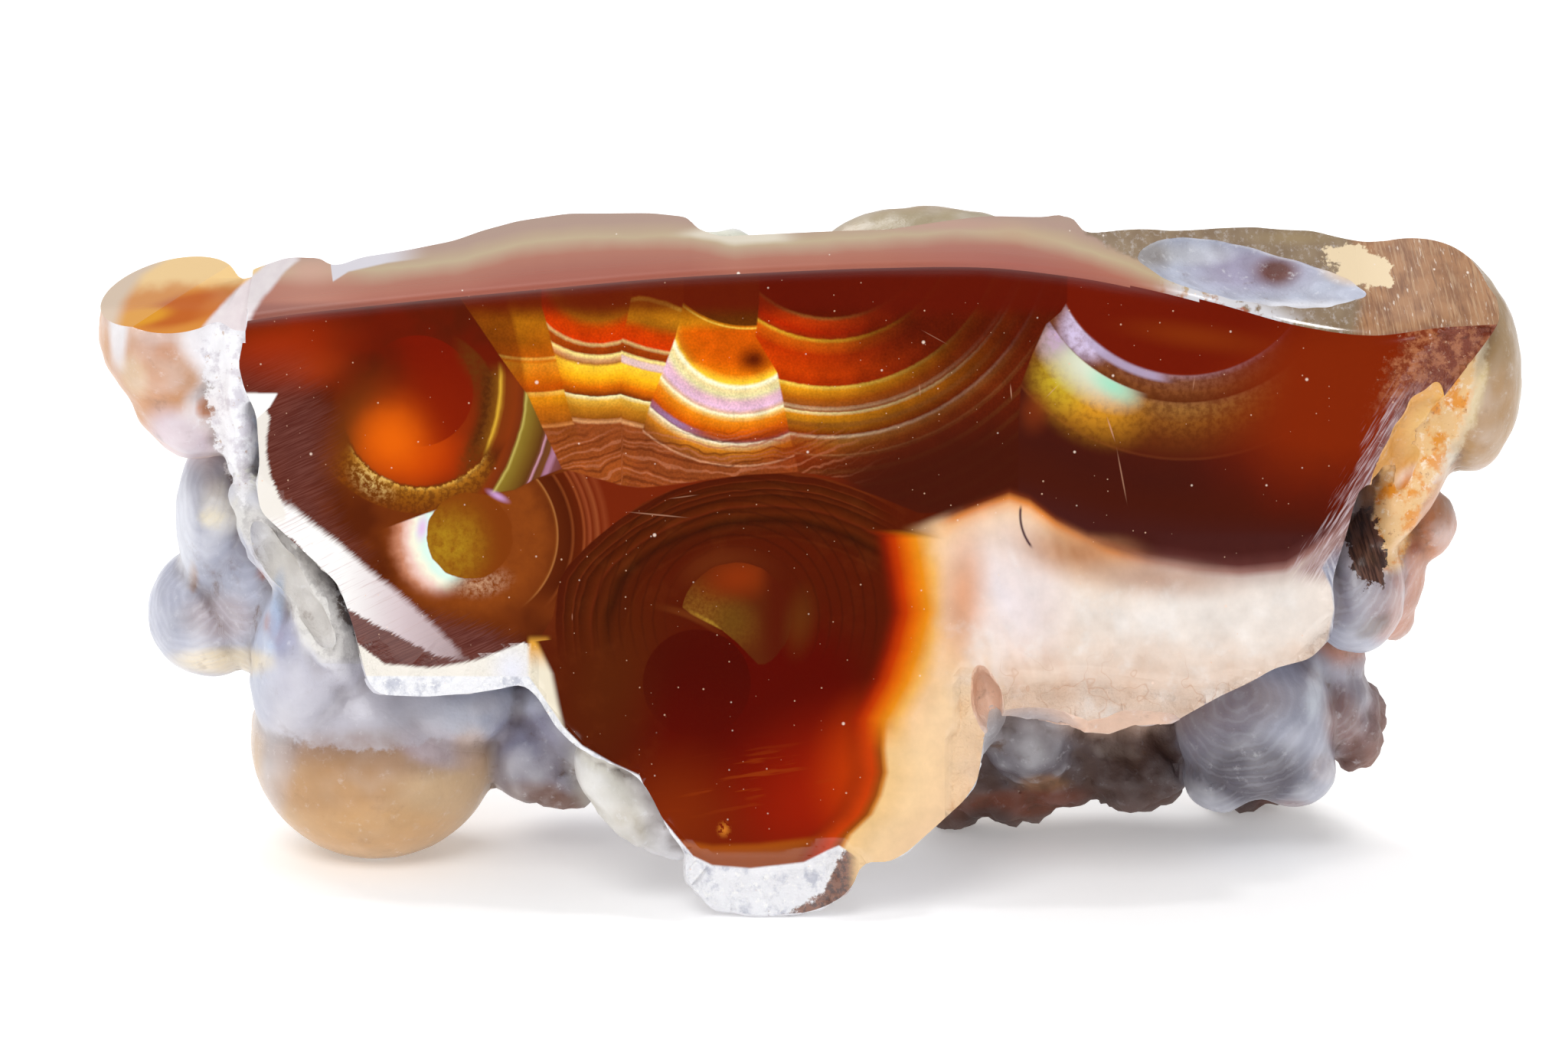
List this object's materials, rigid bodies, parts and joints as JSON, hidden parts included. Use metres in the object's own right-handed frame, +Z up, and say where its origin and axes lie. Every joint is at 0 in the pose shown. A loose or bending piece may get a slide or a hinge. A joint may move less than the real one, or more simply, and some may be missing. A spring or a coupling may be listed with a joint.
{
  "type": "fire agate specimen",
  "caption": "Natural piece of fire agate with a polished front window and polished top, lumpy chalcedony at its ends and back, resting on its own lobes.",
  "frame": {"origin": "middle of the bounding box, at the height of the surface that the stone stands on", "axes": "+X to the right along the stone's length, +Y from the polished front to the back, +Z up"},
  "size_m": [0.0478, 0.0155, 0.0222],
  "materials": {
    "fire_agate": "polished on the front and top, waxy to rough natural chalcedony elsewhere"
  },
  "bodies": {
    "root": {"fire_agate": "fire_agate"}
  },
  "joints": []
}
